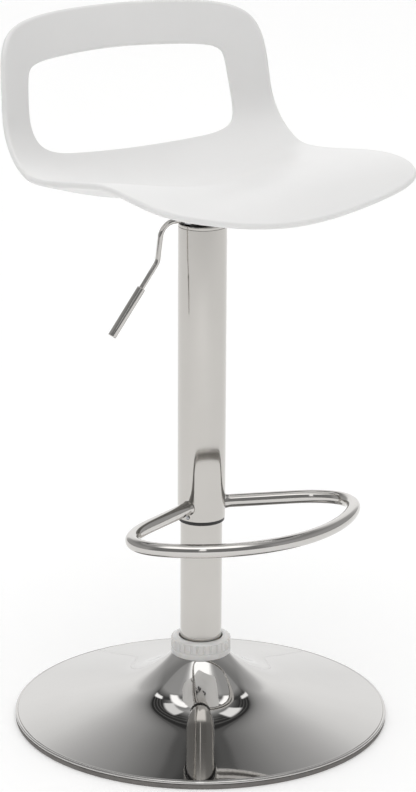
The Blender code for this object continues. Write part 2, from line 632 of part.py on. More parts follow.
def seat_shell(body):
    """A sheet of even thickness with half-round edges outside and around the window."""
    surface = SeatSurface()
    loops = [mirrored_loop(OUTLINE, 4), mirrored_loop(WINDOW, 4)]
    flat, faces = flat_pattern(loops, SEAT_GRID)
    middle = surface.point(flat[:, 0], flat[:, 1])
    normal = surface.normal(flat[:, 0], flat[:, 1])
    half = SEAT_THICK / 2
    bm = bmesh.new()
    top = [bm.verts.new(p) for p in middle + normal * half]
    low = [bm.verts.new(p) for p in middle - normal * half]
    for face in faces:
        bm.faces.new([top[i] for i in face])
        bm.faces.new([low[i] for i in reversed(face)])
    start = 0
    for loop, outward in zip(loops, (1, -1)):
        ids = list(range(start, start + len(loop)))
        start += len(loop)
        area = np.cross(loop, np.roll(loop, -1, axis=0)).sum()
        turn = outward * math.copysign(1, area)
        ahead = np.roll(middle[ids], -1, axis=0) - np.roll(middle[ids], 1, axis=0)
        side = np.cross(ahead, normal[ids]) * turn
        side /= np.linalg.norm(side, axis=1)[:, None]
        rows = [[top[i] for i in ids]]
        for angle in (math.pi / 4, math.pi / 2, 3 * math.pi / 4):
            ring_points = middle[ids] + half * (normal[ids] * math.cos(angle) + side * math.sin(angle))
            rows.append([bm.verts.new(p) for p in ring_points])
        rows.append([low[i] for i in ids])
        for row, after in zip(rows, rows[1:]):
            for i in range(len(ids)):
                j = (i + 1) % len(ids)
                bm.faces.new([row[i], row[j], after[j], after[i]])
    piece("seat_shell", bm, "white_plastic", body)


# ---------------------------------------------------------------- lever and valve bodies

def lever_parts(body):
    corners = [Vector((x * MM, 0, z * MM)) for x, z in LEVER_PATH]
    path = filleted(corners, LEVER_BENDS)
    piece("lever_rod", sweep(path, [LEVER_R] * len(path), 12), "chrome", body)

    start = Vector((SLEEVE_START[0], 0, SLEEVE_START[1]))
    end = Vector((SLEEVE_END[0], 0, SLEEVE_END[1]))
    length = (end - start).length
    depth = 24 * MM
    profile = [(LEVER_R + GAP, 0), (SLEEVE_R, 0), (SLEEVE_R, length - 0.8 * MM), (SLEEVE_R - 0.8 * MM, length),
               (0, length), (0, depth), (LEVER_R + GAP, depth)]
    sleeve = lathe(profile, SMALL)
    turn = (end - start).to_track_quat("Z", "Y").to_matrix().to_4x4()
    turn.translation = start
    sleeve.transform(turn)
    piece("lever_sleeve", sleeve, "chrome", body)

    x, z = PIVOT[0], PIVOT[2]
    block = box((x - 12 * MM, -6.5 * MM, z - 4.7 * MM), (x + 22 * MM, 6.5 * MM, z + 3.5 * MM))
    rocker = piece("lever_rocker", block, "black_nylon", body, smooth=False)
    cut(rocker, "rocker_bore", rod((x - 20 * MM, 0, z), (x - 4.5 * MM, 0, z), LEVER_R + GAP, 16))
    side = Vector((0, 10 * MM, 0))
    cut(rocker, "rocker_pin_hole", rod(Vector(PIVOT) - side, Vector(PIVOT) + side, 2 * MM + GAP, 16))


def valve_parts(body):
    piece("release_button", rod((0, 0, BUTTON_TOP - 15 * MM), (0, 0, BUTTON_TOP), BUTTON_R), "zinc_steel", body)


def main():
    clear_scene()
    base = empty("base", (0, 0, 0))
    base_parts(base)
    swivel_rod = empty("swivel_rod", (0, 0, FOOT_TOP))
    rod_parts(swivel_rod)
    seat_column = empty("seat_column", (0, 0, UPPER_BOTTOM))
    gas_cylinder(seat_column)
    column_parts(seat_column)
    footrest(seat_column)
    mechanism(seat_column)
    seat_shell(seat_column)
    lever_parts(empty("seat_lever", PIVOT))
    valve_parts(empty("valve_button", (0, 0, BUTTON_TOP)))


main()
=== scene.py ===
"""Adjustable swivel stool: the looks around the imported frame, in metres, +Z up, sitter facing -Y."""
import math

import bmesh
import bpy
import numpy as np
from mathutils import Matrix, Vector
from mathutils.geometry import delaunay_2d_cdt


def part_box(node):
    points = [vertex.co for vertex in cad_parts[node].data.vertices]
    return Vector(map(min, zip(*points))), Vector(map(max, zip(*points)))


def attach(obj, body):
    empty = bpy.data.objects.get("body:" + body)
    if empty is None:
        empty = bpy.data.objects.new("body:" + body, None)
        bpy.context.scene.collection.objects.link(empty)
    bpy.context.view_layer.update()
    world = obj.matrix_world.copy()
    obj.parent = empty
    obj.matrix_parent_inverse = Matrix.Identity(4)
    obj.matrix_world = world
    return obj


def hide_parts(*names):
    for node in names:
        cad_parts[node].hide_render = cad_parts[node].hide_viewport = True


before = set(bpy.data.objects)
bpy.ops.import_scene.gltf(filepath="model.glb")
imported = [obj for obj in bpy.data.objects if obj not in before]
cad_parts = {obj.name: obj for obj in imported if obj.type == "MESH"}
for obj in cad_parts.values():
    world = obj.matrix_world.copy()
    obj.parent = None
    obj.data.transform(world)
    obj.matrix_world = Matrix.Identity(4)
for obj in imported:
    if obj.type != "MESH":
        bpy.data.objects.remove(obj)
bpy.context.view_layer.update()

MM = 0.001
TURN_SIDES = 192      # sides of the large turned pieces
SMALL_SIDES = 32

# The camera is set by where it stands, its turn about Z, its downward tilt and a slight roll
CAMERA_PLACE = (-1.83350, -2.88041, 1.45339)
CAMERA_TURN = math.radians(32.6)
CAMERA_TILT = 0.29819
CAMERA_ROLL = 0.005
CAMERA_LENS = 137.73                   # on a 36 mm sensor across the long side

# Base
BASE_R = 225 * MM
BASE_WALL = 2 * MM
NECK_TOP = 81.5 * MM
FLARE = [(34.5, 81.5), (37, 78.4), (42, 73.2), (50, 66.4), (62, 58.2), (78, 48.9), (100, 38.8),
         (135, 30.5), (178, 20.3), (221.5, 10.2)]          # radius and height in mm
BEAD_R = 1.9 * MM
RING_WIDTH = 9 * MM                    # of the rubber under the rim

# Columns and collar
LOWER_R = 25 * MM
UPPER_R = 28.5 * MM
TUBE_WALL = 1.5 * MM
LOWER_SPAN = (16 * MM, 400 * MM)
UPPER_SPAN = (255.3 * MM, 610.8 * MM)
CAP_TOP = 615 * MM
COLLAR_R = 36 * MM
COLLAR_SPAN = (81.8 * MM, 103 * MM)
COLLAR_FLUTES = 28

# Footrest
FOOTREST_Z = 271.6 * MM
FOOTREST_RISE = 0.028
FOOTREST_R = 8 * MM
WELD_R = 9 * MM
ARM_ANGLE = math.radians(66.3)
ARM_LENGTH = 107 * MM
BOW_R = 181.5 * MM
BOW_FORWARD = 1.5 * MM
BOW_END = math.radians(45)
CORNER_PULL = (58 * MM, 47 * MM)

# Lever
PIVOT = Vector((-16 * MM, 0, 620.7 * MM))
LEVER_R = 3 * MM
LEVER_PATH = [(-21, 620.7), (-55.4, 620.7), (-61.4, 575.5), (-95, 531.6)]   # x and z in mm
LEVER_BENDS = (19 * MM, 14 * MM)
PIN_R = 2 * MM
SLEEVE_R = 5 * MM
SLEEVE_ENDS = (Vector((-83.1 * MM, 0, 547 * MM)), Vector((-123.1 * MM, 0, 495.2 * MM)))

# Seat plate and bolts
PLATE_SPAN = (625.3 * MM, 627.8 * MM)
PLATE_HALF = (46 * MM, 39.5 * MM)
PLATE_BACK = 12.5 * MM
BOLT_R = 3 * MM
BOLT_AT = {"fl": (30 * MM, -18 * MM), "fr": (-30 * MM, -18 * MM),
           "bl": (30 * MM, 40 * MM), "br": (-30 * MM, 40 * MM)}

# Seat shell: the middle line (y, z) and the flat outlines (across, along) of the right half, in mm
SEAT_THICK = 7.5 * MM
SPINE = [(-197, 653), (-148, 671), (-91, 674), (-31, 663), (28, 645), (85, 629), (146, 652),
         (188, 701), (196, 763), (212, 822)]
DISH = [40, 36, 38, 45, 58]
CURL = [-13, -20, -1, 5, -1]
DISH_SPAN = 180 * MM
DISH_RUN = 550 * MM
OUTLINE = [(0, 0), (104, 7), (176, 16), (187, 78), (166, 160), (187, 250), (184, 358),
           (181, 466), (174, 529), (92, 546), (0, 550)]
WINDOW = [(0, 373), (85, 370), (149, 361), (141, 468), (138, 493), (76, 500), (0, 505)]
SEAT_GRID = 7 * MM


# ---------------------------------------------------------------- node materials

class Wiring:
    """Helpers that add and join nodes in one node tree. A plain number may stand for any input."""

    def __init__(self, tree):
        self.tree = tree

    def add(self, kind, **settings):
        node = self.tree.nodes.new(kind)
        for key, value in settings.items():
            setattr(node, key, value)
        return node

    def link(self, output, target):
        self.tree.links.new(output, target)

    def feed(self, source, target):
        if isinstance(source, (int, float, tuple)):
            target.default_value = source
        else:
            self.link(source, target)

    def maths(self, operation, a, b=0.0, c=0.0):
        node = self.add("ShaderNodeMath", operation=operation)
        for source, target in zip((a, b, c), node.inputs):
            self.feed(source, target)
        return node.outputs["Value"]

    def spread(self, value, low, high, start=0.3, end=0.7, kind="LINEAR"):
        """Map a texture or a distance to a range of numbers."""
        node = self.add("ShaderNodeMapRange", interpolation_type=kind)
        for socket, number in (("From Min", start), ("From Max", end), ("To Min", low), ("To Max", high)):
            node.inputs[socket].default_value = number
        self.link(value, node.inputs["Value"])
        return node.outputs["Result"]

    def ramp(self, value, stops):
        """A number read from a colour ramp with (position, level) stops."""
        node = self.add("ShaderNodeValToRGB")
        elements = node.color_ramp.elements
        while len(elements) < len(stops):
            elements.new(1.0)
        for element, (position, level) in zip(elements, stops):
            element.position = position
            element.color = (level, level, level, 1)
        self.link(value, node.inputs["Fac"])
        return node.outputs["Color"]

    def mix(self, factor, first, second):
        """Blend two numbers."""
        node = self.add("ShaderNodeMix")
        for source, target in zip((factor, first, second), node.inputs[0:1] + node.inputs[2:4]):
            self.feed(source, target)
        return node.outputs[0]

    def blend(self, factor, first, second):
        """Blend two colours."""
        node = self.add("ShaderNodeMix", data_type="RGBA")
        self.feed(factor, node.inputs[0])
        for source, target in ((first, node.inputs[6]), (second, node.inputs[7])):
            self.feed((*source, 1) if isinstance(source, tuple) else source, target)
        return node.outputs[2]


class Shader(Wiring):
    """One Principled material, wired on the object's own coordinates."""

    def __init__(self, name, **sockets):
        self.mat = bpy.data.materials.new(name)
        self.mat.use_nodes = True
        super().__init__(self.mat.node_tree)
        self.main = self.tree.nodes["Principled BSDF"]
        self.place = self.add("ShaderNodeTexCoord").outputs["Object"]
        for socket, value in sockets.items():
            self.main.inputs[socket.replace("_", " ")].default_value = value

    def stretched(self, scale):
        """Object position with each axis multiplied, for grain that runs one way."""
        node = self.add("ShaderNodeMapping")
        node.inputs["Scale"].default_value = scale
        self.link(self.place, node.inputs["Vector"])
        return node.outputs["Vector"]

    def noise(self, scale, detail=4.0, rough=0.5, place=None):
        node = self.add("ShaderNodeTexNoise")
        node.inputs["Scale"].default_value = scale
        node.inputs["Detail"].default_value = detail
        node.inputs["Roughness"].default_value = rough
        self.link(self.place if place is None else place, node.inputs["Vector"])
        return node.outputs["Fac"]

    def spots(self, scale):
        node = self.add("ShaderNodeTexVoronoi")
        node.inputs["Scale"].default_value = scale
        self.link(self.place, node.inputs["Vector"])
        return node.outputs["Distance"]

    def colour(self, factor, first, second):
        self.link(self.blend(factor, first, second), self.main.inputs["Base Color"])

    def roughness(self, value):
        self.link(value, self.main.inputs["Roughness"])

    def bump(self, *layers):
        """Stack bumps given as (height, strength, distance in metres)."""
        before = None
        for height, strength, distance in layers:
            node = self.add("ShaderNodeBump")
            node.inputs["Strength"].default_value = strength
            node.inputs["Distance"].default_value = distance
            self.link(height, node.inputs["Height"])
            if before is not None:
                self.link(before, node.inputs["Normal"])
            before = node.outputs["Normal"]
        self.link(before, self.main.inputs["Normal"])


def chrome(name, colour, dim, rough=(0.02, 0.06), wave=0.0):
    """Bright plate: a faint haze, light polishing lines and, on tubes, a slow waviness."""
    s = Shader(name, Metallic=1.0)
    haze = s.noise(9, 5, 0.55)
    s.colour(s.spread(haze, 0, 1), colour, dim)
    lines = s.noise(260, 3, 0.6, s.stretched((1, 1, 0.02)))
    smear = s.maths("ADD", s.spread(haze, *rough), s.spread(lines, 0, 0.012))
    s.roughness(smear)
    layers = [(lines, 0.012, 0.0002)]
    if wave:
        layers.append((s.noise(14, 2, 0.4, s.stretched((1, 1, 0.35))), wave, 0.002))
    s.bump(*layers)
    return s.mat


def steel(name, colour, rough=(0.22, 0.38), grain=(1, 1, 8)):
    """Zinc-plated or ground steel with a fine lay and dull patches."""
    s = Shader(name, Metallic=1.0)
    lay = s.noise(900, 4, 0.6, s.stretched(grain))
    patches = s.noise(60, 5, 0.6)
    dark = tuple(c * 0.78 for c in colour)
    s.colour(s.spread(patches, 0, 1), colour, dark)
    s.roughness(s.maths("ADD", s.spread(patches, *rough), s.spread(lay, -0.05, 0.05)))
    s.bump((lay, 0.12, 0.00012))
    return s.mat


def powder_coat(name):
    """Black powder coat: fine orange peel, dusty patches and paler worn specks."""
    s = Shader(name)
    peel = s.noise(700, 3, 0.5)
    dust = s.noise(25, 5, 0.6)
    specks = s.spread(s.spots(220), 1, 0, 0.0, 0.12)
    worn = s.maths("MULTIPLY", specks, s.spread(dust, 0, 0.5, 0.5, 0.7))
    base = s.blend(s.spread(dust, 0, 1), (0.016, 0.016, 0.017), (0.032, 0.031, 0.030))
    s.colour(worn, base, (0.16, 0.16, 0.155))
    s.roughness(s.spread(dust, 0.36, 0.55))
    s.bump((peel, 0.25, 0.0002))
    return s.mat


def nylon(name):
    """Black moulded nylon: spark-eroded texture and a slight mottle."""
    s = Shader(name)
    mottle = s.noise(80, 4, 0.5)
    s.colour(s.spread(mottle, 0, 1), (0.010, 0.010, 0.011), (0.022, 0.021, 0.021))
    s.roughness(s.spread(mottle, 0.34, 0.5))
    s.bump((s.noise(1500, 2, 0.5), 0.2, 0.0001))
    return s.mat


def rubber(name, colour=(0.014, 0.014, 0.014), pale=(0.045, 0.044, 0.042)):
    """Matt rubber with bloom and a fine tooth."""
    s = Shader(name)
    bloom = s.noise(45, 5, 0.6)
    s.colour(s.spread(bloom, 0, 1), colour, pale)
    s.roughness(s.spread(bloom, 0.62, 0.85))
    s.bump((s.noise(1100, 3, 0.6), 0.35, 0.00015))
    return s.mat


def shell_plastic(name):
    """Satin white moulding: faint tone changes, orange peel and a few polish marks."""
    s = Shader(name, IOR=1.46, Subsurface_Weight=0.08, Subsurface_Scale=0.002)
    s.main.inputs["Subsurface Radius"].default_value = (1.0, 0.95, 0.9)
    tone = s.noise(7, 4, 0.5)
    s.colour(s.spread(tone, 0, 1), (0.845, 0.840, 0.832), (0.815, 0.812, 0.806))
    marks = s.noise(30, 6, 0.65, s.stretched((1, 0.25, 1)))
    s.roughness(s.maths("ADD", s.spread(tone, 0.33, 0.39), s.spread(marks, -0.02, 0.03)))
    s.bump((s.noise(420, 2, 0.5), 0.06, 0.0003), (s.noise(35, 2, 0.4), 0.03, 0.001))
    return s.mat


def clear_acrylic(name):
    """Milky clear moulding: a warm cast, cloudy patches and softened facets."""
    s = Shader(name, Transmission_Weight=0.2, IOR=1.49, Subsurface_Weight=0.25, Subsurface_Scale=0.003)
    s.main.inputs["Subsurface Radius"].default_value = (1.0, 0.85, 0.75)
    cloud = s.noise(120, 4, 0.5)
    s.colour(s.spread(cloud, 0, 1), (0.99, 0.975, 0.955), (0.95, 0.93, 0.90))
    s.roughness(s.spread(cloud, 0.02, 0.06))
    s.bump((s.noise(500, 2, 0.5), 0.05, 0.0002))
    return s.mat


COLUMN_TONE = (0.575, 0.558, 0.532)
BASE_TONE = (0.585, 0.575, 0.562)
MAT = {
    "base_chrome": chrome("base_chrome", BASE_TONE, tuple(c * 0.96 for c in BASE_TONE), (0.015, 0.045)),
    "column_chrome": chrome("column_chrome", COLUMN_TONE, tuple(c * 0.95 for c in COLUMN_TONE),
                            (0.06, 0.10), 0.01),
    "bar_chrome": chrome("bar_chrome", (0.62, 0.605, 0.585), (0.58, 0.565, 0.545), (0.03, 0.07)),
    "zinc": steel("zinc_plate", (0.56, 0.57, 0.59)),
    "bearing": steel("bearing_steel", (0.66, 0.66, 0.67), (0.08, 0.16)),
    "coat": powder_coat("powder_coat"),
    "nylon": nylon("black_nylon"),
    "rubber": rubber("black_rubber"),
    "trim": rubber("grey_rubber", (0.155, 0.145, 0.138), (0.20, 0.19, 0.18)),
    "shell": shell_plastic("white_shell"),
    "acrylic": clear_acrylic("clear_acrylic"),
}


# ---------------------------------------------------------------- mesh helpers

def piece(name, bm, mat, body, node, sharp=40.0):
    """Make a finished piece that stands for a CAD node."""
    bmesh.ops.recalc_face_normals(bm, faces=bm.faces)
    mesh = bpy.data.meshes.new(name)
    bm.to_mesh(mesh)
    bm.free()
    mesh.shade_smooth()
    mesh.set_sharp_from_angle(angle=math.radians(sharp))
    mesh.materials.append(MAT[mat])
    obj = bpy.data.objects.new(name, mesh)
    bpy.context.scene.collection.objects.link(obj)
    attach(obj, body)
    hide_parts(node)
    return obj


def lathe(profile, sides, radius_of=None):
    """Turn a closed (radius, height) profile about Z; radius_of may change the radius by angle."""
    bm = bmesh.new()
    rings = []
    for radius, height in profile:
        if radius < 1e-9:
            rings.append([bm.verts.new((0, 0, height))] * sides)
            continue
        around = []
        for i in range(sides):
            angle = 2 * math.pi * i / sides
            r = radius_of(radius, height, angle) if radius_of else radius
            around.append(bm.verts.new((r * math.cos(angle), r * math.sin(angle), height)))
        rings.append(around)
    for near, far in zip(rings, rings[1:] + rings[:1]):
        if near[0] is near[1] and far[0] is far[1]:
            continue
        for i in range(sides):
            j = (i + 1) % sides
            bm.faces.new(list(dict.fromkeys([near[i], near[j], far[j], far[i]])))
    return bm


def eased(points, radius, steps=4):
    """Round every corner of a closed profile. A point may carry its own radius as a third number."""
    out = []
    count = len(points)
    for i, point in enumerate(points):
        here = Vector(point[:2])
        r = point[2] if len(point) > 2 else radius
        back = Vector(points[i - 1][:2]) - here
        ahead = Vector(points[(i + 1) % count][:2]) - here
        on_axis = here.x < 1e-9
        if r <= 0 or on_axis or back.length < 1e-9 or ahead.length < 1e-9:
            out.append(tuple(here))
            continue
        half = back.angle(ahead) / 2
        if half > math.radians(88) or half < 0.01:
            out.append(tuple(here))
            continue
        cut = min(r / math.tan(half), back.length * 0.48, ahead.length * 0.48)
        a, b = here + back.normalized() * cut, here + ahead.normalized() * cut
        for k in range(steps + 1):
            t = k / steps
            out.append(tuple(a * (1 - t) ** 2 + here * 2 * t * (1 - t) + b * t * t))
    return out


def spin(name, points, mat, body, node, ease=0.3 * MM):
    """A large turned piece with its profile's corners eased."""
    return piece(name, lathe(eased(points, ease), TURN_SIDES), mat, body, node)


def rod(radius, length):
    """A plain round rod up the Z axis, to cut a hole with."""
    return lathe([(0, 0), (radius, 0), (radius, length), (0, length)], SMALL_SIDES)


def between(bm, start, end):
    """Move a bmesh built up the Z axis so that it runs from start towards end."""
    turn = (end - start).to_track_quat("Z", "Y").to_matrix().to_4x4()
    turn.translation = start
    bm.transform(turn)
    return bm


def spline(points, per_span, closed=False):
    """Points on a uniform cubic B-spline. An open one reaches both end points."""
    pts = np.asarray(points, dtype=float)
    if closed:
        ctrl = np.concatenate([pts[-1:], pts, pts[:2]])
    else:
        ctrl = np.concatenate([2 * pts[:1] - pts[1:2], pts, 2 * pts[-1:] - pts[-2:-1]])
    spans = len(ctrl) - 3
    place = np.linspace(0, spans, spans * per_span + (0 if closed else 1), endpoint=not closed)
    span = np.minimum(place.astype(int), spans - 1)
    t = (place - span).reshape(-1, *([1] * (pts.ndim - 1)))
    return ((1 - t) ** 3 * ctrl[span] + (3 * t ** 3 - 6 * t ** 2 + 4) * ctrl[span + 1]
            + (-3 * t ** 3 + 3 * t ** 2 + 3 * t + 1) * ctrl[span + 2] + t ** 3 * ctrl[span + 3]) / 6


def filleted(corners, radii, steps=14):
    """A path of straight runs whose inner corners are arcs of the given radii."""
    path = [corners[0]]
    for before, corner, after, radius in zip(corners, corners[1:], corners[2:], radii):
        back, ahead = (before - corner).normalized(), (after - corner).normalized()
        half = back.angle(ahead) / 2
        centre = corner + (back + ahead).normalized() * (radius / math.sin(half))
        start = corner + back * (radius / math.tan(half)) - centre
        end = corner + ahead * (radius / math.tan(half)) - centre
        angle = start.angle(end)
        for k in range(steps + 1):
            rest, done = math.sin(angle * (1 - k / steps)), math.sin(angle * k / steps)
            path.append(centre + (start * rest + end * done) / math.sin(angle))
    return path + [corners[-1]]


def sweep(path, radii, sides):
    """A round bar along a path, with one radius for each point and closed ends."""
    bm = bmesh.new()
    side_way = None
    rings = []
    for i, (place, radius) in enumerate(zip(path, radii)):
        ahead = (path[min(i + 1, len(path) - 1)] - path[max(i - 1, 0)]).normalized()
        if side_way is None:
            side_way = ahead.orthogonal().normalized()
        side_way = (side_way - ahead * side_way.dot(ahead)).normalized()
        other_way = ahead.cross(side_way)
        turns = [2 * math.pi * k / sides for k in range(sides)]
        rings.append([bm.verts.new(place + radius * (side_way * math.cos(a) + other_way * math.sin(a)))
                      for a in turns])
    for near, far in zip(rings, rings[1:]):
        for k in range(sides):
            m = (k + 1) % sides
            bm.faces.new([near[k], near[m], far[m], far[k]])
    bm.faces.new(list(reversed(rings[0])))
    bm.faces.new(rings[-1])
    return bm


def prism(outline, axis, end):
    """A flat outline of 3-D points, drawn out along one axis until it reaches end."""
    bm = bmesh.new()
    face = bm.faces.new([bm.verts.new(point) for point in outline])
    for vert in bmesh.ops.extrude_face_region(bm, geom=[face])["geom"]:
        if isinstance(vert, bmesh.types.BMVert):
            vert.co[axis] = end
    return bm


def block(low, high):
    """A box between two corners."""
    bm = bmesh.new()
    bmesh.ops.create_cube(bm, size=1)
    for vert in bm.verts:
        vert.co = Vector([lo + (side + 0.5) * (hi - lo) for lo, hi, side in zip(low, high, vert.co)])
    return bm


def cut(obj, bm):
    """Subtract a bmesh from an object and apply the result."""
    bmesh.ops.recalc_face_normals(bm, faces=bm.faces)
    mesh = bpy.data.meshes.new("cutter")
    bm.to_mesh(mesh)
    bm.free()
    cutter = bpy.data.objects.new("cutter", mesh)
    bpy.context.scene.collection.objects.link(cutter)
    mod = obj.modifiers.new("cut", "BOOLEAN")
    mod.operation = "DIFFERENCE"
    mod.solver = "EXACT"
    mod.object = cutter
    settle(obj)
    bpy.data.objects.remove(cutter, do_unlink=True)


def settle(obj):
    """Apply an object's modifiers to its mesh."""
    graph = bpy.context.evaluated_depsgraph_get()
    done = bpy.data.meshes.new_from_object(obj.evaluated_get(graph))
    obj.modifiers.clear()
    obj.data = done
    done.shade_smooth()
    done.set_sharp_from_angle(angle=math.radians(35))


def bevel(obj, width):
    """Round an object's sharp edges."""
    mod = obj.modifiers.new("bevel", "BEVEL")
    mod.width = width
    mod.segments = 2
    mod.limit_method = "ANGLE"
    mod.angle_limit = math.radians(40)
    mod.harden_normals = True
    settle(obj)


# ---------------------------------------------------------------- base

def base_shell():
    """A spun trumpet of even thickness. A crease and a small rolled bead finish its rim."""
    outer = spline(np.array(FLARE) * MM, 8)
    way = np.gradient(outer, axis=0)
    way /= np.linalg.norm(way, axis=1)[:, None]
    inner = outer + BASE_WALL * np.column_stack([way[:, 1], -way[:, 0]])
    shoulder = NECK_TOP - BASE_WALL
    inner = inner[(inner[:, 1] < shoulder) & (inner[:, 0] < BASE_R - 7 * MM)][::2]
    hole = LOWER_R + 0.3 * MM
    mouth = [(hole, shoulder), (hole, NECK_TOP - 0.4 * MM), (hole + 0.4 * MM, NECK_TOP)]

    edge_z = outer[-1, 1]
    centre_r, centre_z = BASE_R - BEAD_R, edge_z - BEAD_R - 0.2 * MM
    fold = centre_r - BEAD_R * 0.7
    # The cone runs straight up to the fold, so that its shading isn't bent there
    near_fold = [(r, np.interp(r, *outer.T)) for r in (fold - 1.5 * MM, fold - 0.8 * MM)]
    crease = [(fold - 0.45 * MM, edge_z + 0.1 * MM), (fold - 0.1 * MM, edge_z - 0.75 * MM)]
    bead = [(centre_r + BEAD_R * math.sin(a), centre_z + BEAD_R * math.cos(a))
            for a in np.linspace(-0.6, math.radians(130), 24)]
    hem_r, hem_z = BASE_R - BASE_WALL, edge_z - 3.9 * MM
    hem = [(BASE_R - 0.9 * MM, hem_z), (hem_r, hem_z), (hem_r, edge_z - BASE_WALL)]

    profile = mouth + [tuple(p) for p in outer[outer[:, 0] < fold - 3 * MM]] + near_fold + crease + bead + hem
    profile += [tuple(p) for p in inner[::-1]] + [(inner[0, 0], shoulder)]
    bm = lathe(profile, TURN_SIDES)
    piece("base_trumpet", bm, "base_chrome", "base", "base_shell", 50.0)


def base_edge():
    """A rubber ring under the rim, with a grooved foot and an outer band that shows below the chrome."""
    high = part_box("base_edge_ring")[1]
    inner, seal, wide = BASE_R - RING_WIDTH, BASE_R - BASE_WALL - 0.3 * MM, high.x
    groove = [(inner + 2.5 * MM, 0.0), (inner + 3 * MM, 0.35 * MM), (inner + 3.5 * MM, 0.0)]
    band = [(wide - 1.6 * MM, 0.0), (wide - 0.8 * MM, 1.2 * MM), (wide, 2.2 * MM, 0.6 * MM), (wide, 6 * MM)]
    profile = [(inner, 0.0)] + groove + band + [(seal, 6 * MM), (seal, high.z), (inner, high.z)]
    spin("floor_ring", profile, "trim", "base", "base_edge_ring", 0.25 * MM)


def collar():
    """The clear ring on the neck, with a plain foot and a faceted band, and the gasket inside it."""
    bottom, top = COLLAR_SPAN
    lip = top - 3.8 * MM
    bore = LOWER_R + 3.3 * MM
    face = (bottom + 8.4 * MM, top - 2.2 * MM)
    waist = COLLAR_R - 1.3 * MM
    foot = [(bore, bottom), (COLLAR_R - 1.0 * MM, bottom, 0.8 * MM), (COLLAR_R, bottom + 1.2 * MM),
            (COLLAR_R, bottom + 6.6 * MM), (COLLAR_R - 1.1 * MM, bottom + 7.6 * MM)]
    facets = [(waist, face[0]), (waist, (face[0] + face[1]) / 2), (waist, face[1])]
    crown = [(COLLAR_R - 2.2 * MM, top - 1.2 * MM), (COLLAR_R - 6 * MM, top, 0.6 * MM),
             (LOWER_R + 1.4 * MM, top), (LOWER_R + 1.3 * MM, lip), (bore, lip)]

    def flute(radius, height, angle):
        """Shallow rounded facets with narrow grooves between them, around the upper band."""
        if radius < COLLAR_R - 2.5 * MM or not face[0] <= height <= face[1]:
            return radius
        turn = angle * COLLAR_FLUTES / (2 * math.pi)
        across = abs(turn - math.floor(turn) - 0.5) * 2
        groove = 1.2 * MM if across > 0.7 else 0.0
        return radius + 1.2 * MM - 0.5 * MM * across ** 2 - groove

    sides = COLLAR_FLUTES * 12
    bm = lathe(eased(foot + facets + crown, 0.15 * MM, 2), sides, flute)
    piece("crystal_ring", bm, "acrylic", "base", "crystal_collar", 25.0)

    low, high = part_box("collar_seal")
    inner, outer = LOWER_R + 0.3 * MM, LOWER_R + 2.7 * MM
    seal = [(inner, low.z), (outer, low.z), (outer, high.z), (inner, high.z)]
    spin("collar_gasket", seal, "rubber", "base", "collar_seal", 0.5 * MM)


# ---------------------------------------------------------------- columns

def tube(name, radius, span, body, node):
    """A plain chrome tube."""
    inner = radius - TUBE_WALL
    profile = [(inner, span[0]), (radius, span[0]), (radius, span[1]), (inner, span[1])]
    return spin(name, profile, "column_chrome", body, node, 0.4 * MM)


def columns():
    """The fixed and the sliding tube, with the sliding tube's crown, bush and bush screw."""
    tube("fixed_tube", LOWER_R, LOWER_SPAN, "base", "lower_column")
    upper = tube("sliding_tube", UPPER_R, UPPER_SPAN, "seat_column", "upper_column")
    foot, head = UPPER_SPAN
    inner = UPPER_R - TUBE_WALL
    fit = inner - 0.3 * MM
    out = Vector((-math.sin(ARM_ANGLE), -math.cos(ARM_ANGLE), 0))
    level = Vector((0, 0, foot + 4.9 * MM))
    cut(upper, between(rod(1.8 * MM, 15 * MM), level + out * 20 * MM, level + out * 35 * MM))

    bore, spigot = 14.3 * MM, 20 * MM
    under = head + 0.3 * MM
    crown = [(bore, head - 26 * MM), (spigot, head - 26 * MM), (spigot, head - 11 * MM),
             (fit, head - 11 * MM), (fit, under, 0.05 * MM), (UPPER_R, under, 0.25 * MM),
             (UPPER_R, CAP_TOP, 1.4 * MM), (bore, CAP_TOP, 0.8 * MM)]
    spin("column_crown", crown, "column_chrome", "seat_column", "column_cap")

    low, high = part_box("lower_bush")
    bore, flange = LOWER_R + 0.3 * MM, UPPER_R - 0.9 * MM
    flange_top = foot - 0.3 * MM
    bush = [(bore, low.z, 0.8 * MM), (flange, low.z, 0.7 * MM), (flange, flange_top),
            (fit, flange_top, 0.05 * MM), (fit, high.z), (bore, high.z)]
    spin("glide_bush", bush, "nylon", "seat_column", "lower_bush")

    shank, head_r, socket = 1.5 * MM, 2.4 * MM, 0.75 * MM
    screw = [(0, 0), (shank, 0), (shank, 1.7 * MM, 0.05 * MM), (head_r, 1.7 * MM),
             (head_r, 2.3 * MM, 0.4 * MM), (shank, 3.0 * MM, 0.3 * MM), (socket, 3.0 * MM, 0.1 * MM),
             (socket, 2.1 * MM, 0.1 * MM), (0, 2.1 * MM)]
    bm = lathe(eased(screw, 0.15 * MM), SMALL_SIDES)
    between(bm, level + out * (inner + 0.1 * MM), level + out)
    piece("bush_fixing", bm, "zinc", "seat_column", "bush_screw")


# ---------------------------------------------------------------- footrest

